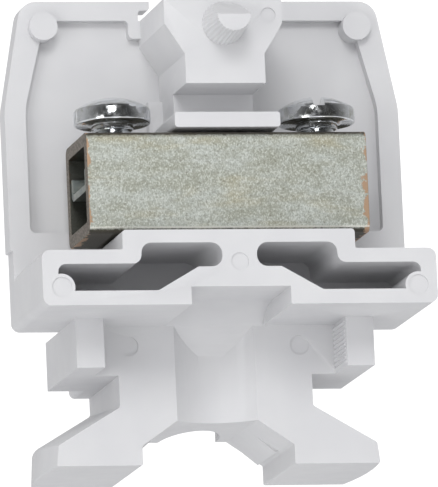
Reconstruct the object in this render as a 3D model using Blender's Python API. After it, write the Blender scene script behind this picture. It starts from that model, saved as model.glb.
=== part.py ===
"""Two-screw rail terminal block: an open moulded housing that carries a square clamp tube, two slotted
clamp screws and the two pressure saddles that the screw tips carry.

Axes: X runs along the block between the two wire entries, the open side of the housing faces -Y,
and Z points from the rail foot up to the marker post.  The foot stands on Z = 0.
"""
import math

import bmesh
import bpy
from mathutils import Matrix, Vector

MM = 0.001

# ---- fits ------------------------------------------------------------------------------------------
FIT_GAP = 0.3             # tube to the pedestal below it and to the pads behind it
SHELF_GAP = 0.6           # tube to the shelf above it
THREAD_CLEARANCE = 0.06   # screw shank to its hole, per side
SADDLE_CLEARANCE = 0.35   # saddle to the tube walls, per side
SWIVEL_CLEARANCE = 0.06   # screw tip to the saddle, every way
STACK_CLEARANCE = 0.6     # tongue to the pocket of the next block, per side
STUD_CLEARANCE = 0.15     # stud to the socket of the next block, per side

# ---- clamp tube ------------------------------------------------------------------------------------
TUBE_SIZE = 14.5
TUBE_WALL = 1.8
TUBE_CORNER_R = 1.2
TUBE_LENGTH = 40.6
TUBE_SETBACK = 3.7        # front of the housing to the front of the tube
TUBE_SHIFT = -0.3         # where the loose tube stands along X

# ---- clamp screws and saddles ----------------------------------------------------------------------
SCREW_DIAMETER = 6.0
SCREW_LENGTH = 9.2        # head to the shoulder that rests on the saddle
SCREW_SPACING = 29.8
SCREW_REST_LIFT = 2.2     # underside of the head above the tube, as the screws stand
HEAD_DIAMETER = 11.0
HEAD_BAND = 2.1
HEAD_DOME = 1.8
SLOT_WIDTH = 1.6
SLOT_DEPTH = 2.05
SLOT_ANGLES = (84.0, -8.0)  # left and right screw, from the Y axis
TIP_PIN_DIAMETER = 3.0
TIP_RIVET_DIAMETER = 4.6
TIP_RIVET_HEIGHT = 0.4
SADDLE_LENGTH = 10.4
SADDLE_THICKNESS = 1.0
SADDLE_FLANGE = 3.2

# ---- housing: base ---------------------------------------------------------------------------------
BASE_LENGTH = 57.0
BASE_BOTTOM = 20.0
BASE_HEIGHT = 7.9
BASE_CORNER_R = 1.2
PEDESTAL_LENGTH = 33.6
PEDESTAL_HEIGHT = 2.8
CORE_DEPTH = 17.3         # depth of the two coring pockets
CORE_END_WALL = 2.3
CORE_FLOOR = 2.05         # base bottom to the pocket
CORE_HEIGHT = 3.85        # outer part of a pocket
CORE_RISE = 2.95          # extra height of its inner part
CORE_STEP_X = 14.3
CORE_INNER_X = 2.5
CORE_SLOPE_X = (11.9, 6.0)
CORE_SLOPE_RISE = 3.35
CORE_BOSS_R = 1.9
PIN_MARK_R = 1.45
PIN_MARK_DEPTH = 0.2
NOTCH_WIDTH = 14.4
NOTCH_HEIGHT = 2.55
RELIEF_R = 10.05          # curve from the ceiling of the notch down into the channel

# ---- housing: back plate ---------------------------------------------------------------------------
PLATE_THICKNESS = 3.6
PANEL_THICKNESS = 1.8
PANEL_BEHIND_TUBE = 3.3   # back of the tube to the recessed panel
PLATE_OVERHANG = 0.4      # plate beyond the base at each end
PLATE_SKIRT = 3.3         # base top to the lower edge of the overhang
PLATE_ABOVE_POST = 2.8
PLATE_TAPER = 2.95
PLATE_TAPER_HEIGHT = 15.7
PLATE_BEND_R = 11.0
PLATE_CORNER_R = 2.7
RIM_WIDTH = 3.05
RIM_TOP = 2.8
RIM_BOTTOM = 5.9          # base top to the lower edge of the recess
RIM_TAPER = 3.3
RIM_TAPER_HEIGHT = 12.7
CORNER_BOSS_R = 2.05
CORNER_BOSS_INSET = (5.9, 3.85)
CORNER_BOSS_PROUD = 1.5

# ---- housing: shelf, slot and marker post ------------------------------------------------------------
SHELF_WIDTH = 15.3
SHELF_THICKNESS = 2.15
SLOT_HEIGHT = 4.15
SLOT_BACK = 8.75
POST_NECK_WIDTH = 11.56
POST_HEAD_WIDTH = 17.1
POST_NECK_HEIGHT = 4.25
POST_FLARE_HEIGHT = 4.35
POST_HEAD_HEIGHT = 3.6
STOP_WIDTH = 2.1
STOP_HEIGHT = 4.5
WINDOW_HEIGHT = 1.5
WINDOW_LIP = 1.7
WINDOW_SIDE = 0.28
TAB_WIDTH = 1.5
TAB_HEIGHT = 2.6

# ---- housing: stud and socket that join neighbouring blocks ------------------------------------------
STUD_LENGTH = 7.1
STUD_BASE_R = 3.2
STUD_TIP_R = 2.46
STUD_BELOW_TOP = 3.6
STUD_TEETH = 30
STUD_TOOTH = 0.14

# ---- housing: ledges, waist, tongue and rail foot ----------------------------------------------------
LOWER_SETBACK = 11.3
LOWER_PITCH = 21.25       # depth of the ledges
POCKET_DEPTH = 7.4
POCKET_WIDTH = 35.3
LEDGE_WIDTH = 4.0
LEDGE_HEIGHT = 7.05
RIB_PITCH = 0.64
RIB_HEIGHT = 0.25
TONGUE_LENGTH = 7.0
TONGUE_CORNER_R = 0.8
STEM_WIDTH = 28.2
RAIL_GAP_FRONT = 4.55     # height of the rail notches at the front of the foot
RAIL_GAP_BACK = 2.6
FOOT_WIDTH = 47.2
FOOT_TIP_FRONT = 3.0
FOOT_TIP_BACK = 5.2
FOOT_DRAFT = 0.35
FOOT_BULGE = 0.8
FOOT_TAPER = 0.4
FOOT_SECTIONS = 7
LEG_STEP = 0.45           # the rear half of each leg stands this much further in
LEG_GAP_BOTTOM = 22.2
LEG_GAP_TOP = 11.7
LEG_STRAIGHT = 2.8
LEG_GAP_HEIGHT = 6.4
CHANNEL_DEPTH = 2.95
HEEL_SLOT_WIDTH = 8.5
HEEL_SLOT_LENGTH = 11.0
HEEL_SLOT_HEIGHT = 1.7

# ---- levels and faces that follow from the sizes above -----------------------------------------------
base_top = BASE_BOTTOM + BASE_HEIGHT
pedestal_top = base_top + PEDESTAL_HEIGHT
tube_bottom = pedestal_top + FIT_GAP
tube_top = tube_bottom + TUBE_SIZE
tube_back = TUBE_SETBACK + TUBE_SIZE
tube_mid_y = TUBE_SETBACK + TUBE_SIZE / 2
shelf_bottom = tube_top + SHELF_GAP
shelf_top = shelf_bottom + SHELF_THICKNESS
post_bottom = shelf_top + SLOT_HEIGHT
post_flare = post_bottom + POST_NECK_HEIGHT
post_head = post_flare + POST_FLARE_HEIGHT
post_top = post_head + POST_HEAD_HEIGHT
plate_top = post_top + PLATE_ABOVE_POST
panel_face = tube_back + PANEL_BEHIND_TUBE
body_depth = panel_face + PANEL_THICKNESS
rim_face = body_depth - PLATE_THICKNESS
ledge_bottom = BASE_BOTTOM - LEDGE_HEIGHT
waist_face = LOWER_SETBACK + POCKET_DEPTH
ledge_back = LOWER_SETBACK + LOWER_PITCH
foot_back = ledge_back + TONGUE_LENGTH
head_bottom = tube_top + SCREW_REST_LIFT
saddle_top = head_bottom - SCREW_LENGTH - SWIVEL_CLEARANCE
stud_z = post_top - STUD_BELOW_TOP
tab_out = POST_HEAD_WIDTH / 2 + WINDOW_SIDE + TAB_WIDTH


# ---- outlines ----------------------------------------------------------------------------------------
def arc(cx, cy, radius, start, end, steps):
    """Points of an arc, angles in degrees."""
    turn = [math.radians(start + (end - start) * i / steps) for i in range(steps + 1)]
    return [(cx + radius * math.cos(t), cy + radius * math.sin(t)) for t in turn]


def rounded(corners, steps=6):
    """Outline through corners (x, y, radius) with each corner turned into an arc."""
    points = []
    count = len(corners)
    for i, (x, y, radius) in enumerate(corners):
        here = Vector((x, y))
        before = Vector(corners[i - 1][:2]) - here
        after = Vector(corners[(i + 1) % count][:2]) - here
        angle = before.angle(after)
        reach = min(radius / math.tan(angle / 2), before.length * 0.49, after.length * 0.49)
        if reach < 1e-4:
            points.append((x, y))
            continue
        radius = reach * math.tan(angle / 2)
        centre = here + (before.normalized() + after.normalized()).normalized() * radius / math.sin(angle / 2)
        first = here + before.normalized() * reach - centre
        last = here + after.normalized() * reach - centre
        sweep = first.angle_signed(last)
        for k in range(steps + 1):
            spoke = first.copy()
            spoke.rotate(Matrix.Rotation(-sweep * k / steps, 2))
            points.append(tuple(centre + spoke))
    return points


def mirrored(right_half):
    """Closed outline from the corners of its right half, listed from the axis round to the axis."""
    return right_half + [(-p[0],) + tuple(p[1:]) for p in reversed(right_half)]


# ---- solids ------------------------------------------------------------------------------------------
def finish(mesh_data, name):
    """Close up, face outward and link a mesh given in millimetres."""
    bmesh.ops.remove_doubles(mesh_data, verts=mesh_data.verts, dist=1e-5)
    bmesh.ops.recalc_face_normals(mesh_data, faces=mesh_data.faces)
    bmesh.ops.scale(mesh_data, vec=(MM, MM, MM), verts=mesh_data.verts)
    mesh = bpy.data.meshes.new(name)
    mesh_data.to_mesh(mesh)
    mesh_data.free()
    solid = bpy.data.objects.new(name, mesh)
    bpy.context.scene.collection.objects.link(solid)
    return solid


PLANES = {
    "y": lambda a, b, h: (a, h, b),     # outline in X and Z, extruded along Y
    "z": lambda a, b, h: (a, b, h),     # outline in X and Y, extruded along Z
    "x": lambda a, b, h: (h, a, b),     # outline in Y and Z, extruded along X
}


def loft(sections, along="y", name="solid"):
    """Solid through a list of (outline, position) that all have the same number of points."""
    place = PLANES[along]
    data = bmesh.new()
    rings = [[data.verts.new(place(a, b, at)) for a, b in outline] for outline, at in sections]
    data.faces.new(rings[0])
    data.faces.new(rings[-1])
    sides = []
    for one, two in zip(rings, rings[1:]):
        for i in range(len(one)):
            j = (i + 1) % len(one)
            sides.append(data.faces.new((one[i], one[j], two[j], two[i])))
    if len(sections) > 2:
        bmesh.ops.triangulate(data, faces=sides)
    return finish(data, name)


def prism(outline, low, high, along="y", name="solid"):
    return loft([(outline, low), (outline, high)], along, name)


def block(x0, x1, y0, y1, z0, z1):
    return prism([(x0, z0), (x1, z0), (x1, z1), (x0, z1)], y0, y1)


def cylinder(a, b, radius, low, high, along="y", steps=32):
    return prism(arc(a, b, radius, 0, 360, steps)[:-1], low, high, along)


def combine(target, tools, operation):
    """Join, cut or trim the target with each tool in turn, and drop the tools."""
    for tool in tools:
        step = target.modifiers.new("step", "BOOLEAN")
        step.operation = operation
        step.solver = "EXACT"
        step.object = tool
        graph = bpy.context.evaluated_depsgraph_get()
        result = bpy.data.meshes.new_from_object(target.evaluated_get(graph))
        target.modifiers.clear()
        target.data = result
        bpy.data.objects.remove(tool)
    return target


def join(target, *tools):
    return combine(target, tools, "UNION")


def cut(target, *tools):
    return combine(target, tools, "DIFFERENCE")


def trim(target, *tools):
    return combine(target, tools, "INTERSECT")


def both_sides(make, *sizes):
    """The same feature at +X and at -X; make is called with the side first."""
    return [make(side, *sizes) for side in (1, -1)]


# ---- housing -----------------------------------------------------------------------------------------
def base_outline():
    end = BASE_LENGTH / 2
    seat = PEDESTAL_LENGTH / 2
    return rounded(mirrored([
        (end, BASE_BOTTOM, BASE_CORNER_R), (end, base_top, BASE_CORNER_R),
        (seat, base_top, 0.3), (seat, pedestal_top, 0.5)]))


def core_pocket(side):
    """One of the two coring pockets that open at the front of the base."""
    end = BASE_LENGTH / 2 - CORE_END_WALL
    floor = BASE_BOTTOM + CORE_FLOOR
    low, high = floor + CORE_HEIGHT, floor + CORE_HEIGHT + CORE_RISE
    shoulder = floor + CORE_SLOPE_RISE
    slope_out, slope_in = CORE_SLOPE_X
    boss_x, boss_z = end - 0.45, floor + 0.55
    outline = rounded([
        (slope_out, floor, 0.6), (end, floor, 0.2), (end, low, 1.1), (CORE_STEP_X, low, 1.2),
        (CORE_STEP_X - 0.3, high, 1.4), (CORE_INNER_X, high, 1.6), (CORE_INNER_X, shoulder, 1.5),
        (slope_in, shoulder, 0.5)])
    pocket = prism([(side * x, z) for x, z in outline], -1.0, CORE_DEPTH)
    return cut(pocket, cylinder(side * boss_x, boss_z, CORE_BOSS_R, -2.0, CORE_DEPTH + 1.0))


def plate_outline():
    end = BASE_LENGTH / 2
    wide = end + PLATE_OVERHANG
    skirt = base_top + PLATE_SKIRT
    return rounded(mirrored([
        (end, BASE_BOTTOM + 2 * BASE_CORNER_R, 0.0), (end, skirt, 0.0), (wide, skirt, 0.4),
        (wide, plate_top - PLATE_TAPER_HEIGHT, PLATE_BEND_R),
        (wide - PLATE_TAPER, plate_top, PLATE_CORNER_R)]))


def recess_outline():
    """Recess in the front of the plate, with a tab of the rim left hanging on each side of the post."""
    wide = BASE_LENGTH / 2 + PLATE_OVERHANG - RIM_WIDTH
    top, tab_end = plate_top - RIM_TOP, post_top - TAB_HEIGHT
    return rounded(mirrored([
        (wide, base_top + RIM_BOTTOM, 0.8), (wide, top - RIM_TAPER_HEIGHT, PLATE_BEND_R),
        (wide - RIM_TAPER, top, 1.0), (tab_out, top, 0.6), (tab_out, tab_end, 0.7)]))


def post_outline():
    neck, head = POST_NECK_WIDTH / 2, POST_HEAD_WIDTH / 2
    return mirrored([(neck, post_bottom), (neck, post_flare), (head, post_head), (head, post_top)])


def window_outline():
    """Opening for the marker tag at the top of the plate, narrower between its two lips."""
    side = POST_HEAD_WIDTH / 2 + WINDOW_SIDE
    lip = post_top + WINDOW_HEIGHT
    return rounded(mirrored([
        (side, post_top, 0.0), (side, lip, 0.5), (side - WINDOW_LIP, lip, 0.4),
        (side - WINDOW_LIP, plate_top + 1.0, 0.0)]), steps=4)


def corner_boss(side):
    across, down = CORNER_BOSS_INSET
    x = side * (BASE_LENGTH / 2 + PLATE_OVERHANG - across)
    return cylinder(x, plate_top - down, CORNER_BOSS_R, rim_face - CORNER_BOSS_PROUD, panel_face + 0.5)


def pin_mark(x, z, radius, face):
    """Shallow round mark that an ejector pin leaves in a face that looks forward."""
    return cylinder(x, z, radius, face - 1.0, face + PIN_MARK_DEPTH, steps=24)


def stud():
    """Serrated stud on the marker post, its top cut back towards the tip."""
    count = 2 * STUD_TEETH
    ring = [2 * math.pi * i / count for i in range(count)]

    def star(radius):
        return [((radius - STUD_TOOTH * (i % 2)) * math.cos(t),
                 stud_z + (radius - STUD_TOOTH * (i % 2)) * math.sin(t)) for i, t in enumerate(ring)]

    root, tip = TUBE_SETBACK + 0.5, TUBE_SETBACK - STUD_LENGTH
    body = loft([(star(STUD_TIP_R), tip), (star(STUD_BASE_R), root)])
    reach = STUD_BASE_R + 2.0
    wedge = prism([(tip - 1.0, stud_z), (tip, stud_z), (TUBE_SETBACK, stud_z + STUD_BASE_R),
                   (TUBE_SETBACK, stud_z + reach), (tip - 1.0, stud_z + reach)], -reach, reach, "x")
    return cut(body, wedge)


def lower_side(top_over):
    """Side outline of the ledges and the waist, rising into the base where they run under it."""
    return [(ledge_back, ledge_bottom), (ledge_back, BASE_BOTTOM), (body_depth, BASE_BOTTOM),
            (body_depth - 0.9, BASE_BOTTOM + top_over)]


def ledge(side):
    inner, outer = POCKET_WIDTH / 2 - 0.6, POCKET_WIDTH / 2 + LEDGE_WIDTH
    outline = [(LOWER_SETBACK, ledge_bottom)] + lower_side(1.4) + [(LOWER_SETBACK, BASE_BOTTOM + 1.4)]
    body = prism(outline, *sorted((side * inner, side * outer)), "x")
    pocket_x = sorted((side * (inner - 1.0), side * (inner + 0.6)))
    return cut(body, block(*pocket_x, LOWER_SETBACK - 1, waist_face, ledge_bottom - 1, BASE_BOTTOM))


def rib_wall(side):
    """Serrated inner wall of a ledge, gripping the tongue of the next block."""
    wall = POCKET_WIDTH / 2
    count = int((LEDGE_HEIGHT - 0.6) / RIB_PITCH)
    outline = [(side * (wall + 0.3), ledge_bottom + 0.3)]
    for i in range(count):
        z = ledge_bottom + 0.3 + i * RIB_PITCH
        outline += [(side * wall, z), (side * (wall - RIB_HEIGHT), z + RIB_PITCH / 2)]
    outline += [(side * wall, z + RIB_PITCH), (side * (wall + 0.3), z + RIB_PITCH)]
    return prism(outline, LOWER_SETBACK + 0.6, waist_face + 0.3)


def waist():
    half = POCKET_WIDTH / 2
    outline = [(waist_face, ledge_bottom)] + lower_side(1.4) + [(waist_face, BASE_BOTTOM + 1.4)]
    return prism(outline, -half, half, "x")


def tongue():
    half = POCKET_WIDTH / 2 - STACK_CLEARANCE
    top = BASE_BOTTOM - STACK_CLEARANCE
    return prism(rounded(mirrored([
        (half, ledge_bottom, TONGUE_CORNER_R), (half, top, TONGUE_CORNER_R)]), steps=4),
        waist_face + 1.0, foot_back)


def foot_outline(back):
    """Stem and splayed legs; back runs from 0 at the front face to 1 at the rear face."""
    stem, high, low = STEM_WIDTH / 2, LEG_GAP_TOP / 2, LEG_GAP_BOTTOM / 2
    half = FOOT_WIDTH / 2 + FOOT_BULGE * (1 - (2 * back - 1) ** 2) - FOOT_TAPER * back
    notch = ledge_bottom - RAIL_GAP_FRONT + (RAIL_GAP_FRONT - RAIL_GAP_BACK) * back
    tip = FOOT_TIP_FRONT + (FOOT_TIP_BACK - FOOT_TIP_FRONT) * back
    return rounded(mirrored([
        (high, LEG_GAP_HEIGHT, 0.3), (low, LEG_STRAIGHT, 0.3), (low, 0.0, 0.25), (half, 0.0, 0.25),
        (half - FOOT_DRAFT, tip, 0.3 + 1.6 * back), (stem, notch, 0.5),
        (stem, ledge_bottom + 1.0, 0.0)]), steps=4)


def foot():
    depth = foot_back - waist_face
    steps = [i / (FOOT_SECTIONS - 1) for i in range(FOOT_SECTIONS)]
    return loft([(foot_outline(t), waist_face + depth * t) for t in steps])


def leg_step(side):
    """Thin wedge that thickens the rear half of a leg on the side of the gap."""
    low, high = LEG_GAP_BOTTOM / 2, LEG_GAP_TOP / 2
    slope = (LEG_GAP_HEIGHT - LEG_STRAIGHT) / (low - high)

    def above_leg(x, rise):
        return (side * x, LEG_GAP_HEIGHT - slope * (x - high) + rise)

    start, end = high + 0.6, low - 0.8
    outline = [above_leg(start, 0.1), above_leg(end, -LEG_STEP),
               above_leg(end + 0.4, 0.2), above_leg(start, 0.4)]
    return prism(outline, (waist_face + foot_back) / 2 - 2.0, foot_back - 0.4)


def relief_curve(steps=12):
    """Side outline of the hollow under the notch: down from its ceiling to the base, then to the channel."""
    centre_z = BASE_BOTTOM + NOTCH_HEIGHT - RELIEF_R
    at_base = math.asin((BASE_BOTTOM - centre_z) / RELIEF_R)
    centre_y = waist_face - RELIEF_R * math.cos(at_base)
    at_end = math.acos(min((waist_face + CHANNEL_DEPTH + 0.2 - centre_y) / RELIEF_R, 0.999))
    upper = [math.pi / 2 + (at_base - math.pi / 2) * i / steps for i in range(steps)]
    lower = [at_base + (at_end - at_base) * i / steps for i in range(steps + 1)]

    def point(turn):
        return (centre_y + RELIEF_R * math.cos(turn), centre_z + RELIEF_R * math.sin(turn))

    return [point(t) for t in upper], [point(t) for t in lower]


def notch():
    """Notch across the bottom of the base, as far back as the waist."""
    upper, lower = relief_curve()
    outline = [(-1.0, BASE_BOTTOM - 1.0), (-1.0, BASE_BOTTOM + NOTCH_HEIGHT)] + upper + [lower[0]]
    return prism(outline, -NOTCH_WIDTH / 2, NOTCH_WIDTH / 2, "x")


def channel():
    """Round channel down the front of the stem, closed at the top by the curve under the notch."""
    half = LEG_GAP_TOP / 2
    radius = (half * half + CHANNEL_DEPTH * CHANNEL_DEPTH) / (2 * CHANNEL_DEPTH)
    body = cylinder(0.0, waist_face + CHANNEL_DEPTH - radius, radius, -1.0, BASE_BOTTOM + 1.0, "z", 48)
    upper, lower = relief_curve()
    front = waist_face - 1.0
    outline = [(front, -2.0), (front, BASE_BOTTOM)] + lower + [(lower[-1][0], -2.0)]
    return trim(body, prism(outline, -half - 0.3, half + 0.3, "x"))


def heel_slot():
    """Round-ended slot in the underside of the stem, open at the back."""
    half = HEEL_SLOT_WIDTH / 2
    bow = [(half * math.cos(t), foot_back - HEEL_SLOT_LENGTH * math.sin(t))
           for t in (math.pi * i / 16 for i in range(17))]
    outline = [(-half, foot_back + 1.0), (half, foot_back + 1.0)] + bow
    return prism(outline, LEG_GAP_HEIGHT - 1.0, LEG_GAP_HEIGHT + HEEL_SLOT_HEIGHT, "z")


def make_housing():
    body = prism(base_outline(), 0.0, body_depth, name="housing")
    plate = prism(plate_outline(), rim_face, body_depth)
    cut(plate, prism(recess_outline(), rim_face - 1.0, panel_face))
    join(body, plate)
    join(body, *both_sides(corner_boss))

    neck, shelf = POST_NECK_WIDTH / 2, SHELF_WIDTH / 2
    shelf_shape = rounded([(-shelf, shelf_bottom, 0.4), (shelf, shelf_bottom, 0.4),
                           (shelf, shelf_top, 0.35), (-shelf, shelf_top, 0.35)], steps=4)
    join(body, prism(shelf_shape, TUBE_SETBACK, panel_face + 0.5))
    join(body, block(-neck, neck, TUBE_SETBACK + SLOT_BACK, panel_face + 0.5,
                     shelf_top - 0.5, post_bottom + 0.5))
    join(body, prism(post_outline(), TUBE_SETBACK, panel_face + 0.5))
    join(body, *both_sides(lambda s: block(*sorted((s * (neck - 0.3), s * (neck + STOP_WIDTH))), rim_face,
                                           panel_face + 0.5, shelf_top - 0.5, shelf_top + STOP_HEIGHT)))
    pad = TUBE_LENGTH / 2 - 4.0
    join(body, *both_sides(lambda s: block(*sorted((s * (pad - 3.0), s * pad)), tube_back + FIT_GAP,
                                           panel_face + 0.5, tube_bottom + 1.0, tube_top - 1.0)))
    join(body, stud())
    cut(body, prism(window_outline(), rim_face - 1.0, body_depth + 1.0))
    socket_r = STUD_BASE_R + STUD_CLEARANCE
    cut(body, cylinder(0.0, stud_z, socket_r, body_depth - STUD_LENGTH - 0.5, body_depth + 1.0))

    join(body, *both_sides(ledge))
    join(body, waist(), tongue(), foot())
    join(body, *both_sides(leg_step))
    join(body, *both_sides(rib_wall))
    cut(body, notch(), channel(), heel_slot())
    cut(body, *both_sides(core_pocket))

    end = BASE_LENGTH / 2 - CORE_END_WALL - 0.45
    mark_z = BASE_BOTTOM + CORE_FLOOR + 0.55
    cut(body, *both_sides(lambda s: pin_mark(s * end, mark_z, PIN_MARK_R, 0.0)))
    cut(body, pin_mark(0.0, pedestal_top - 4.6, 1.27, 0.0))
    cut(body, pin_mark(POST_HEAD_WIDTH / 2 - 2.0, post_top - 2.4, 1.1, TUBE_SETBACK))
    cut(body, *both_sides(lambda s: pin_mark(s * 12.5, ledge_bottom + 4.2, 1.4, waist_face)))
    return body


# ---- metal parts -------------------------------------------------------------------------------------
def make_tube():
    def square(inset, radius):
        low, high = TUBE_SETBACK + inset, tube_back - inset
        bottom, top = tube_bottom + inset, tube_top - inset
        return rounded([(low, bottom, radius), (high, bottom, radius),
                        (high, top, radius), (low, top, radius)])

    left, right = TUBE_SHIFT - TUBE_LENGTH / 2, TUBE_SHIFT + TUBE_LENGTH / 2
    tube = prism(square(0.0, TUBE_CORNER_R), left, right, "x", "clamp_tube")
    cut(tube, prism(square(TUBE_WALL, 0.5), left - 1.0, right + 1.0, "x"))
    hole_r = SCREW_DIAMETER / 2 + THREAD_CLEARANCE
    cut(tube, *both_sides(lambda s: cylinder(screw_x(s), tube_mid_y, hole_r, tube_top - TUBE_WALL - 1.0,
                                             tube_top + 1.0, "z", 48)))
    return tube


def screw_x(side):
    return TUBE_SHIFT + side * SCREW_SPACING / 2


def turned(profile, x, y, name, steps=48):
    """Round part from (radius, z) points, about the vertical axis through x, y."""
    data = bmesh.new()
    chain = [data.verts.new((r, 0.0, z)) for r, z in profile]
    for a, b in zip(chain, chain[1:]):
        data.edges.new((a, b))
    bmesh.ops.spin(data, geom=data.verts[:] + data.edges[:], cent=(0, 0, 0), axis=(0, 0, 1),
                   angle=2 * math.pi, steps=steps, use_merge=True)
    bmesh.ops.translate(data, vec=(x, y, 0.0), verts=data.verts)
    return finish(data, name)


def make_screw(side, name):
    x = screw_x(side)
    shank, head = SCREW_DIAMETER / 2, HEAD_DIAMETER / 2
    pin, rivet = TIP_PIN_DIAMETER / 2, TIP_RIVET_DIAMETER / 2
    tip = head_bottom - SCREW_LENGTH
    rivet_top = saddle_top - SADDLE_THICKNESS - SWIVEL_CLEARANCE
    band_top = head_bottom + HEAD_BAND
    ball = (head * head + HEAD_DOME * HEAD_DOME) / (2 * HEAD_DOME)
    reach = math.asin(head / ball)
    dome = [(ball * math.sin(reach * k / 8), band_top + HEAD_DOME - ball + ball * math.cos(reach * k / 8))
            for k in range(8, 0, -1)]
    profile = [(0.0, rivet_top - TIP_RIVET_HEIGHT), (rivet - 0.3, rivet_top - TIP_RIVET_HEIGHT),
               (rivet, rivet_top - TIP_RIVET_HEIGHT + 0.3), (rivet, rivet_top), (pin, rivet_top), (pin, tip),
               (shank - 0.5, tip), (shank, tip + 0.5), (shank, head_bottom), (head - 0.2, head_bottom),
               (head, head_bottom + 0.2)] + dome + [(0.0, band_top + HEAD_DOME)]
    screw = turned(profile, x, tube_mid_y, name)
    bottom = band_top + HEAD_DOME - SLOT_DEPTH
    slot = block(-SLOT_WIDTH / 2, SLOT_WIDTH / 2, -head - 1.0, head + 1.0, bottom, band_top + HEAD_DOME + 1.0)
    angle = math.radians(SLOT_ANGLES[0 if side < 0 else 1])
    turn = Matrix.Translation((x * MM, tube_mid_y * MM, 0)) @ Matrix.Rotation(angle, 4, "Z")
    slot.data.transform(turn)
    return set_origin(cut(screw, slot), (x, tube_mid_y, head_bottom))


def make_saddle(side, name):
    """Shallow channel on the screw tip that presses on the wire, its flanges turned up."""
    x = screw_x(side)
    inner = TUBE_SIZE / 2 - TUBE_WALL - SADDLE_CLEARANCE
    bottom = saddle_top - SADDLE_THICKNESS
    flange_top = bottom + SADDLE_FLANGE
    low, high = tube_mid_y - inner, tube_mid_y + inner
    outline = rounded([
        (low, bottom, 1.2), (high, bottom, 1.2), (high, flange_top, 0.2),
        (high - SADDLE_THICKNESS, flange_top, 0.2), (high - SADDLE_THICKNESS, saddle_top, 0.3),
        (low + SADDLE_THICKNESS, saddle_top, 0.3), (low + SADDLE_THICKNESS, flange_top, 0.2),
        (low, flange_top, 0.2)], steps=4)
    saddle = prism(outline, x - SADDLE_LENGTH / 2, x + SADDLE_LENGTH / 2, "x", name)
    hole_r = TIP_PIN_DIAMETER / 2 + SWIVEL_CLEARANCE
    cut(saddle, cylinder(x, tube_mid_y, hole_r, bottom - 1.0, saddle_top + 1.0, "z"))
    return set_origin(saddle, (x, tube_mid_y, saddle_top))


# ---- finish ------------------------------------------------------------------------------------------
def set_origin(solid, point):
    shift = Vector(point) * MM
    solid.data.transform(Matrix.Translation(-shift))
    solid.location = shift
    return solid


def dress(solid, colour, metallic, roughness, smooth_angle=30.0):
    """Material, tidy faces and shading for a finished piece."""
    data = bmesh.new()
    data.from_mesh(solid.data)
    bmesh.ops.remove_doubles(data, verts=data.verts, dist=2e-6)
    bmesh.ops.dissolve_degenerate(data, edges=data.edges, dist=2e-6)
    data.to_mesh(solid.data)
    data.free()
    solid.data.shade_smooth()
    solid.data.set_sharp_from_angle(angle=math.radians(smooth_angle))
    material = bpy.data.materials.new(solid.name + "_finish")
    material.use_nodes = True
    shader = material.node_tree.nodes["Principled BSDF"]
    shader.inputs["Base Color"].default_value = (*colour, 1.0)
    shader.inputs["Metallic"].default_value = metallic
    shader.inputs["Roughness"].default_value = roughness
    solid.data.materials.clear()
    solid.data.materials.append(material)


def main():
    for old in list(bpy.data.objects):
        bpy.data.objects.remove(old)
    dress(make_housing(), (0.82, 0.83, 0.85), 0.0, 0.45)
    dress(make_tube(), (0.55, 0.56, 0.48), 1.0, 0.4)
    for side, hand in ((-1, "left"), (1, "right")):
        dress(make_screw(side, "clamp_screw_" + hand), (0.65, 0.68, 0.72), 1.0, 0.22)
        dress(make_saddle(side, "pressure_saddle_" + hand), (0.5, 0.52, 0.48), 1.0, 0.35)


main()
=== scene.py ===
"""Looks of a two-screw rail terminal block: moulded housing, plated clamp tube, clamp screws, saddles."""
import math

import bmesh
import bpy
from mathutils import Matrix, Vector


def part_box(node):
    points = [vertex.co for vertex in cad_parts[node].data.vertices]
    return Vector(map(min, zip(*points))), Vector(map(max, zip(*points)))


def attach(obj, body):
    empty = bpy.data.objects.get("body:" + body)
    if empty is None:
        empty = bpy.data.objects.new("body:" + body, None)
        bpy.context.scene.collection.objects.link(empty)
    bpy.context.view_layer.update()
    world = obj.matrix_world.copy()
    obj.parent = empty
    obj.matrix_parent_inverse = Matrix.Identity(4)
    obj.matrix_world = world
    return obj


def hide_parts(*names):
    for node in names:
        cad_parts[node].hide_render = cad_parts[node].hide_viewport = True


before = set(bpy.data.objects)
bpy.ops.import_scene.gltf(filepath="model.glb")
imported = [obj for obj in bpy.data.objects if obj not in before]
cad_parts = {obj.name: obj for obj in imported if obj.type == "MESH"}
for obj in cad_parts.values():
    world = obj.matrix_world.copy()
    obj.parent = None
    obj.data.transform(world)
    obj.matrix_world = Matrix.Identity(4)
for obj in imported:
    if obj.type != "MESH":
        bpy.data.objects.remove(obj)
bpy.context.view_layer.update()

MM = 0.001
TURN = 2 * math.pi

# Edge softening in millimetres, and the angles between smooth and sharp faces in degrees.
HOUSING_EDGE, TUBE_EDGE, PLATE_EDGE, SCREW_EDGE = 0.14, 0.22, 0.12, 0.12
SMOOTH_ANGLE, SOFT_ANGLE = 23.5, 24.0

# Screw sizes in millimetres; its place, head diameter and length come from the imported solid.
HEAD_HEIGHT = 3.9
HEAD_BAND = 2.1
HEAD_EDGE_R = 0.3
HEAD_RINGS, RING_HEIGHT = 8, 0.12
SLOT_WIDTH, SLOT_DEPTH = 1.6, 2.05
SLOT_ANGLES = {"left": 84.0, "right": -8.0}
SHANK_R, CORE_R, SHANK_LENGTH = 3.0, 2.6, 9.2
TIP_PIN_R, RIVET_R, RIVET_HEIGHT, RIVET_CHAMFER = 1.5, 2.3, 0.4, 0.2
THREAD_PITCH, THREAD_TURNS, THREAD_STEPS = 1.0, 8, 48
TURNED_STEPS = 96


# ---- node trees --------------------------------------------------------------------------------------
def set_range(node, *numbers):
    """From low and high to low and high, on a Map Range node."""
    for name, number in zip(("From Min", "From Max", "To Min", "To Max"), numbers):
        node.inputs[name].default_value = number


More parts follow.
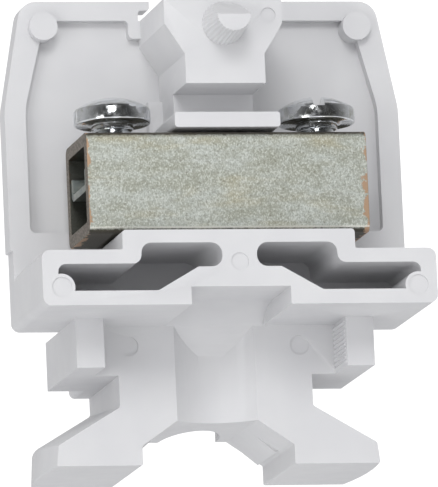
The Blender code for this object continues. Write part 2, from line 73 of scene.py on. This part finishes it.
class Finish:
    """A procedural material around one Principled shader, in object coordinates."""

    def __init__(self, name):
        self.material = bpy.data.materials.new(name)
        self.material.use_nodes = True
        self.tree = self.material.node_tree
        self.shader = self.tree.nodes["Principled BSDF"]
        self.place = self.node("ShaderNodeTexCoord").outputs["Object"]

    def node(self, kind, **settings):
        made = self.tree.nodes.new(kind)
        for key, value in settings.items():
            setattr(made, key, value)
        return made

    def link(self, source, socket):
        self.tree.links.new(source, socket)

    def feed(self, value, socket):
        if isinstance(value, (int, float, tuple)):
            socket.default_value = value
        else:
            self.link(value, socket)

    def stretched(self, scale):
        mapping = self.node("ShaderNodeMapping")
        mapping.inputs["Scale"].default_value = scale
        self.link(self.place, mapping.inputs["Vector"])
        return mapping.outputs["Vector"]

    def noise(self, size_mm, detail=3.0, rough=0.55, stretch=(1, 1, 1), warp=0.0):
        made = self.node("ShaderNodeTexNoise")
        made.inputs["Scale"].default_value = 1.0 / (size_mm * MM)
        made.inputs["Detail"].default_value = detail
        made.inputs["Roughness"].default_value = rough
        made.inputs["Distortion"].default_value = warp
        self.link(self.stretched(stretch), made.inputs["Vector"])
        return made.outputs["Fac"]

    def ramp(self, value, low, high, out_low=0.0, out_high=1.0):
        made = self.node("ShaderNodeMapRange", interpolation_type="SMOOTHSTEP")
        self.feed(value, made.inputs["Value"])
        set_range(made, low, high, out_low, out_high)
        return made.outputs["Result"]

    def maths(self, operation, a, b=0.0):
        made = self.node("ShaderNodeMath", operation=operation)
        self.feed(a, made.inputs[0])
        self.feed(b, made.inputs[1])
        return made.outputs["Value"]

    def mix(self, amount, a, b):
        made = self.node("ShaderNodeMix", data_type="RGBA")
        self.feed(amount, made.inputs["Factor"])
        self.feed(a, made.inputs["A"])
        self.feed(b, made.inputs["B"])
        return made.outputs["Result"]

    def axis(self, which):
        made = self.node("ShaderNodeSeparateXYZ")
        self.link(self.place, made.inputs["Vector"])
        return made.outputs[which]

    def bump(self, height, depth_mm, strength=1.0):
        made = self.node("ShaderNodeBump")
        made.inputs["Strength"].default_value = strength
        made.inputs["Distance"].default_value = depth_mm * MM
        self.link(height, made.inputs["Height"])
        self.link(made.outputs["Normal"], self.shader.inputs["Normal"])

    def set(self, **values):
        for key, value in values.items():
            self.feed(value, self.shader.inputs[key.replace("_", " ").title()])


def moulded_plastic():
    """Pale grey moulded plastic, slightly cloudy, with a fine sparked surface."""
    f = Finish("moulded_plastic")
    cloud = f.noise(9.0, 2.0)
    fleck = f.noise(0.5, 3.0)
    shade = f.mix(f.ramp(cloud, 0.35, 0.65), (0.672, 0.672, 0.686, 1), (0.697, 0.697, 0.707, 1))
    f.set(base_color=f.mix(f.ramp(fleck, 0.62, 0.75, 0.0, 0.12), shade, (0.61, 0.61, 0.63, 1)))
    f.set(roughness=f.ramp(f.noise(3.0, 3.0), 0.3, 0.7, 0.36, 0.46))
    f.bump(f.noise(0.22, 2.0), 0.012, 0.35)
    return f.material


def mottled_zinc():
    """Passivated zinc: grey-green with yellow clouds and fine grain, copper cut ends; painted shade on the
    top and bottom faces with their bends and in the bore, and a painted highlight along the lower bend.
    """
    f = Finish("mottled_zinc")
    low, high = (Vector(v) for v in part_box("clamp_tube"))
    middle, half = (low + high) / 2, (high - low) / 2

    def off_centre(axis):
        """Distance from the tube's middle along an axis."""
        return f.maths("ABSOLUTE", f.maths("SUBTRACT", f.axis(axis), middle["XYZ".index(axis)]))

    grain = f.noise(0.20, 3.0, 0.6, (1.1, 1, 0.8))
    fleck = f.noise(0.42, 4.0, 0.7, (0.8, 1, 1.1))
    cloud = f.noise(2.6, 5.0, 0.68, (0.6, 1, 1.3), 0.3)
    bloom = f.noise(6.0, 3.0, 0.55, (0.4, 1, 1.5), 0.4)
    drawn = f.noise(1.1, 4.0, 0.7, (0.07, 1, 2.2))
    base = f.mix(f.ramp(cloud, 0.34, 0.66), (0.50, 0.515, 0.43, 1), (0.64, 0.675, 0.62, 1))
    base = f.mix(f.ramp(bloom, 0.50, 0.70, 0.0, 0.7), base, (0.60, 0.555, 0.38, 1))
    base = f.mix(f.ramp(drawn, 0.52, 0.72, 0.0, 0.45), base, (0.76, 0.79, 0.76, 1))
    base = f.mix(f.ramp(grain, 0.47, 0.66, 0.0, 0.60), base, (0.95, 0.98, 0.93, 1))
    base = f.mix(f.ramp(grain, 0.33, 0.48, 0.40, 0.0), base, (0.26, 0.26, 0.20, 1))
    base = f.mix(f.ramp(fleck, 0.30, 0.44, 0.65, 0.0), base, (0.24, 0.235, 0.17, 1))

    reach, depth, rise = off_centre("X"), off_centre("Y"), off_centre("Z")
    # Painted shade: the top and bottom faces and the rounded bends next to them are darkened almost to black,
    # with a ragged noisy border.
    ragged = f.maths("ADD", rise, f.ramp(fleck, 0.3, 0.7, -0.1 * MM, 0.1 * MM))
    painted_shade_top_bottom = f.ramp(ragged, half.z - 0.70 * MM, half.z - 0.35 * MM)
    base = f.mix(f.maths("MULTIPLY", painted_shade_top_bottom, 0.9), base, (0.06, 0.05, 0.035, 1))
    fringe = f.maths("ADD", reach, f.ramp(f.noise(2.4, 4.0, 0.65), 0.40, 0.65, -0.2 * MM, 1.0 * MM))
    base = f.mix(f.ramp(fringe, half.x - 0.15 * MM, half.x + 0.20 * MM), base, (0.62, 0.42, 0.28, 1))
    # Painted highlight: a thin near-white streak 0.72 mm above the bottom, along the lower rounded bend,
    # broken up by the drawn streak noise.
    line = f.maths("ABSOLUTE", f.maths("SUBTRACT", f.axis("Z"), low.z + 0.72 * MM))
    painted_highlight_line = f.ramp(line, 0.08 * MM, 0.18 * MM, 0.65, 0.0)
    base = f.mix(f.maths("MULTIPLY", painted_highlight_line, f.ramp(drawn, 0.35, 0.55)), base, (0.95, 0.93, 0.86, 1))
    # Painted shade: the inner walls of the bore are darkened almost to black.
    painted_shade_bore = f.maths("LESS_THAN", f.maths("MAXIMUM", depth, rise), half.z - 1.35 * MM)
    base = f.mix(f.maths("MULTIPLY", painted_shade_bore, 0.93), base, (0.035, 0.035, 0.028, 1))
    cut_end = f.ramp(reach, half.x - 0.04 * MM, half.x - 0.01 * MM)
    bare = f.mix(f.ramp(fleck, 0.35, 0.65), (0.10, 0.08, 0.06, 1), (0.27, 0.235, 0.19, 1))
    base = f.mix(cut_end, base, bare)
    f.set(base_color=base, metallic=f.ramp(fleck, 0.3, 0.7, 0.62, 0.78))
    f.set(roughness=f.ramp(grain, 0.3, 0.7, 0.38, 0.52))
    f.bump(f.maths("ADD", grain, fleck), 0.012, 0.45)
    return f.material


def bright_zinc():
    """Bright plated steel with a little tarnish."""
    f = Finish("bright_zinc")
    tarnish = f.noise(1.6, 3.0)
    f.set(base_color=f.mix(f.ramp(tarnish, 0.45, 0.7), (0.80, 0.82, 0.84, 1), (0.62, 0.63, 0.60, 1)))
    f.set(metallic=1.0, roughness=f.ramp(f.noise(0.7, 3.0), 0.35, 0.7, 0.10, 0.24))
    f.bump(f.noise(1.3, 2.0, 0.5), 0.05, 0.8)
    return f.material


def dull_zinc():
    """Dull plated sheet steel."""
    f = Finish("dull_zinc")
    cloud = f.noise(1.8, 3.0)
    f.set(base_color=f.mix(f.ramp(cloud, 0.4, 0.65), (0.26, 0.29, 0.28, 1), (0.36, 0.38, 0.34, 1)))
    f.set(metallic=0.9, roughness=f.ramp(f.noise(0.5, 3.0), 0.3, 0.7, 0.30, 0.48))
    f.bump(f.noise(0.4, 3.0), 0.015, 0.4)
    return f.material


# ---- pieces ------------------------------------------------------------------------------------------
def put(data, name, material, smooth=35.0):
    """Link a finished bmesh as an object with its place in its mesh."""
    mesh = bpy.data.meshes.new(name)
    data.to_mesh(mesh)
    data.free()
    mesh.shade_smooth()
    mesh.set_sharp_from_angle(angle=math.radians(smooth))
    mesh.materials.append(material)
    piece = bpy.data.objects.new(name, mesh)
    bpy.context.scene.collection.objects.link(piece)
    return piece


def soften(piece, width_mm, angle):
    """Round the edges sharper than an angle."""
    edge = piece.modifiers.new("soft_edges", "BEVEL")
    edge.width = width_mm * MM
    edge.segments = 2
    edge.limit_method = "ANGLE"
    edge.angle_limit = math.radians(angle)
    edge.miter_outer = "MITER_ARC"
    edge.use_clamp_overlap = True
    edge.harden_normals = True


def refined(node, name, body, material, edge_mm):
    """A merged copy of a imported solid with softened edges, standing for it."""
    data = bmesh.new()
    data.from_mesh(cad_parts[node].data)
    bmesh.ops.remove_doubles(data, verts=data.verts, dist=2e-6)
    bmesh.ops.dissolve_limit(data, angle_limit=math.radians(0.6), verts=data.verts, edges=data.edges,
                             delimit={"NORMAL"})
    piece = put(data, name, material, SMOOTH_ANGLE)
    soften(piece, edge_mm, SOFT_ANGLE)
    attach(piece, body)
    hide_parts(node)


def turned(profile, x, y):
    """A closed turned solid from (radius, height) points."""
    data = bmesh.new()
    chain = [data.verts.new((r, 0, z)) for r, z in profile]
    edges = [data.edges.new(pair) for pair in zip(chain, chain[1:])]
    bmesh.ops.spin(data, geom=chain + edges, cent=(0, 0, 0), axis=(0, 0, 1), angle=TURN,
                   steps=TURNED_STEPS, use_merge=True)
    bmesh.ops.remove_doubles(data, verts=data.verts, dist=1e-6)
    bmesh.ops.translate(data, vec=(x, y, 0), verts=data.verts)
    bmesh.ops.recalc_face_normals(data, faces=data.faces)
    return data


def screw_profile(base, seat, top, head_r):
    """Outline of the screw from its riveted tip to its dome, as (radius, height) in millimetres."""
    tip = seat - SHANK_LENGTH
    profile = [(0, base), (RIVET_R - 0.25, base), (RIVET_R, base + RIVET_CHAMFER),
               (RIVET_R, base + RIVET_HEIGHT), (TIP_PIN_R, base + RIVET_HEIGHT + 0.02), (TIP_PIN_R, tip),
               (CORE_R, tip), (CORE_R, seat - 0.9), (SHANK_R, seat - 0.7), (SHANK_R, seat - 0.06),
               (SHANK_R + 0.5, seat)]
    inner, outer = SHANK_R + 0.5, head_r - 0.35
    for k in range(1, HEAD_RINGS + 1):
        profile.append((inner + (outer - inner) * k / HEAD_RINGS, seat + RING_HEIGHT * (k % 2)))
    for k in range(5):
        t = math.pi / 2 * k / 4
        profile.append((head_r - HEAD_EDGE_R * (1 - math.sin(t)), seat + HEAD_EDGE_R * (1 - math.cos(t))))
    dome = top - seat - HEAD_BAND
    ball = (head_r * head_r + dome * dome) / (2 * dome)
    reach = math.asin(head_r / ball)
    profile.append((head_r, top - dome - 0.25))
    for k in range(12, 0, -1):
        t = reach * (k - 0.35 * (k == 12)) / 12
        profile.append((ball * math.sin(t), top - ball + ball * math.cos(t)))
    return profile + [(0, top)]


def cut_slot(piece, x, y, top, angle):
    """Mill the driver slot across the head."""
    cutter = bmesh.new()
    bmesh.ops.create_cube(cutter, size=1.0)
    bmesh.ops.scale(cutter, vec=(SLOT_WIDTH * MM, 14 * MM, 4 * MM), verts=cutter.verts)
    bmesh.ops.rotate(cutter, matrix=Matrix.Rotation(math.radians(angle), 3, "Z"), verts=cutter.verts)
    bmesh.ops.translate(cutter, vec=(x, y, top + (2 - SLOT_DEPTH) * MM), verts=cutter.verts)
    slot = put(cutter, "slot_tool", piece.data.materials[0])
    cut = piece.modifiers.new("slot", "BOOLEAN")
    cut.object, cut.operation, cut.solver = slot, "DIFFERENCE", "EXACT"
    result = bpy.data.meshes.new_from_object(piece.evaluated_get(bpy.context.evaluated_depsgraph_get()))
    piece.modifiers.clear()
    piece.data = result
    bpy.data.objects.remove(slot)
    result.set_sharp_from_angle(angle=math.radians(30))


def rolled_thread(side, x, y, tip):
    """Helical ridge on the core of the shank."""
    ridge = bmesh.new()
    root, crest = CORE_R - 0.1, SHANK_R - 0.02
    cross = [(root, -0.44), (crest, -0.07), (crest, 0.07), (root, 0.44)]
    ring = [ridge.verts.new((r * MM, 0, tip + (0.5 + h * THREAD_PITCH) * MM)) for r, h in cross]
    start = ridge.faces.new(ring)
    bmesh.ops.spin(ridge, geom=[start] + list(start.edges) + ring, cent=(0, 0, 0), axis=(0, 0, 1),
                   dvec=(0, 0, THREAD_PITCH * MM / THREAD_STEPS), angle=TURN * THREAD_TURNS,
                   steps=THREAD_STEPS * THREAD_TURNS, use_merge=False)
    bmesh.ops.translate(ridge, vec=(x, y, 0), verts=ridge.verts)
    bmesh.ops.recalc_face_normals(ridge, faces=ridge.faces)
    thread = put(ridge, "screw_thread_" + side, finishes["screw"], 40)
    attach(thread, "screw_" + side)


def clamp_screw(side):
    """Slotted pan-head screw with forming rings under the head and a rolled thread."""
    node = "clamp_screw_" + side
    low, high = (Vector(v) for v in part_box(node))
    x, y = (low.x + high.x) / 2, (low.y + high.y) / 2
    head_r, top = (high.x - low.x) / 2 / MM, high.z / MM
    seat = top - HEAD_HEIGHT
    profile = [(r * MM, z * MM) for r, z in screw_profile(low.z / MM, seat, top, head_r)]
    piece = put(turned(profile, x, y), "slotted_screw_" + side, finishes["screw"], 25)
    cut_slot(piece, x, y, high.z, SLOT_ANGLES[side])
    soften(piece, SCREW_EDGE, 45)
    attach(piece, "screw_" + side)
    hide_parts(node)
    rolled_thread(side, x, y, (seat - SHANK_LENGTH) * MM)


finishes = {"housing": moulded_plastic(), "tube": mottled_zinc(),
            "screw": bright_zinc(), "saddle": dull_zinc()}
refined("housing", "moulded_housing", "block", finishes["housing"], HOUSING_EDGE)
refined("clamp_tube", "plated_tube", "block", finishes["tube"], TUBE_EDGE)
for side in ("left", "right"):
    clamp_screw(side)
    refined("pressure_saddle_" + side, "saddle_plate_" + side, "saddle_" + side,
            finishes["saddle"], PLATE_EDGE)


# ---- camera ------------------------------------------------------------------------------------------
CAMERA_TURNS = (-12.912, -9.694, -2.574)   # azimuth, elevation and roll, degrees
CAMERA_SENSOR, CAMERA_LENS = 36.0, 704.3   # millimetres
CAMERA_AIM = (0, 10, 29.2)                 # middle of the block, millimetres
CAMERA_OFFSET = (-0.671, 1.186, 1352.506)  # across, over and away from it, millimetres


def camera():
    """Long lens slightly below and to the left of the block, with a little roll."""
    side, rise, roll = (math.radians(v) for v in CAMERA_TURNS)
    back = Vector((math.sin(side) * math.cos(rise), -math.cos(side) * math.cos(rise), math.sin(rise)))
    right = Vector((math.cos(side), math.sin(side), 0))
    up = back.cross(right)
    right, up = (math.cos(roll) * right + math.sin(roll) * up, math.cos(roll) * up - math.sin(roll) * right)
    lens = bpy.data.cameras.new("studio_camera")
    lens.sensor_fit, lens.sensor_height, lens.lens = "VERTICAL", CAMERA_SENSOR, CAMERA_LENS
    lens.clip_start, lens.clip_end = 0.05, 20
    eye = bpy.data.objects.new("studio_camera", lens)
    place = Matrix((right, up, back)).transposed().to_4x4()
    across, over, away = CAMERA_OFFSET
    place.translation = (Vector(CAMERA_AIM) + across * right + over * up + away * back) * MM
    eye.matrix_world = place
    bpy.context.scene.collection.objects.link(eye)
    bpy.context.scene.camera = eye


# ---- studio ------------------------------------------------------------------------------------------
LAMPS = (  # name, azimuth, elevation, distance and size in metres, power in watts
    ("front_key", -12, 24, 1.1, 0.34, 3.3),
    ("left_fill", -48, -8, 1.1, 0.45, 1.9),
    ("low_strip", 4, -34, 1.1, 0.3, 2.0),
)
FLOOR_DEPTH = 0.5          # metres under the block, out of the way of a camera that looks up
SEEN_WHITE = 1.2
ROOM_LIGHT = ("Z", -0.7, 0.5, 0.62, 0.76)    # strength from low to high, for matt surfaces
ROOM_MIRROR = ("Y", -0.7, 0.3, 0.06, 0.55)   # strength from front to back, for shiny ones


def lamp(name, azimuth, elevation, distance, size, power):
    """Soft square lamp that faces the block."""
    a, e = math.radians(azimuth), math.radians(elevation)
    way = Vector((math.sin(a) * math.cos(e), -math.cos(a) * math.cos(e), math.sin(e)))
    light = bpy.data.lights.new(name, "AREA")
    light.shape, light.size, light.energy = "SQUARE", size, power
    holder = bpy.data.objects.new(name, light)
    holder.matrix_world = Matrix.Translation(Vector((0, 0.01, 0.033)) + way * distance) @ \
        way.to_track_quat("Z", "Y").to_matrix().to_4x4()
    bpy.context.scene.collection.objects.link(holder)


def stage_floor():
    floor = bmesh.new()
    bmesh.ops.create_grid(floor, x_segments=1, y_segments=1, size=6)
    bmesh.ops.translate(floor, vec=(0, 0, -FLOOR_DEPTH), verts=floor.verts)
    plain = Finish("plain_floor")
    plain.set(base_color=(0.9, 0.9, 0.9, 1), roughness=0.8)
    put(floor, "floor", plain.material)


def white_room():
    """White to the camera, and softly shaded to matt and to shiny surfaces."""
    world = bpy.data.worlds.new("white_room")
    bpy.context.scene.world = world
    world.use_nodes = True
    tree = world.node_tree
    tree.nodes.clear()
    out = tree.nodes.new("ShaderNodeOutputWorld")
    seen, matt, shiny = (tree.nodes.new("ShaderNodeBackground") for _ in range(3))
    seen.inputs["Color"].default_value, seen.inputs["Strength"].default_value = (1, 1, 1, 1), SEEN_WHITE
    matt.inputs["Color"].default_value = (0.98, 0.985, 1.0, 1)
    way, split = tree.nodes.new("ShaderNodeTexCoord"), tree.nodes.new("ShaderNodeSeparateXYZ")
    tree.links.new(way.outputs["Generated"], split.inputs["Vector"])
    for background, (axis, *numbers) in ((shiny, ROOM_MIRROR), (matt, ROOM_LIGHT)):
        fade = tree.nodes.new("ShaderNodeMapRange")
        set_range(fade, *numbers)
        tree.links.new(split.outputs[axis], fade.inputs["Value"])
        tree.links.new(fade.outputs["Result"], background.inputs["Strength"])
    path = tree.nodes.new("ShaderNodeLightPath")
    gloss, mix = tree.nodes.new("ShaderNodeMixShader"), tree.nodes.new("ShaderNodeMixShader")
    tree.links.new(path.outputs["Is Glossy Ray"], gloss.inputs["Fac"])
    tree.links.new(matt.outputs[0], gloss.inputs[1])
    tree.links.new(shiny.outputs[0], gloss.inputs[2])
    tree.links.new(path.outputs["Is Camera Ray"], mix.inputs["Fac"])
    tree.links.new(gloss.outputs[0], mix.inputs[1])
    tree.links.new(seen.outputs[0], mix.inputs[2])
    tree.links.new(mix.outputs[0], out.inputs["Surface"])


def studio():
    stage_floor()
    bpy.context.scene.view_settings.view_transform = "Standard"
    white_room()
    for settings in LAMPS:
        lamp(*settings)


camera()
studio()
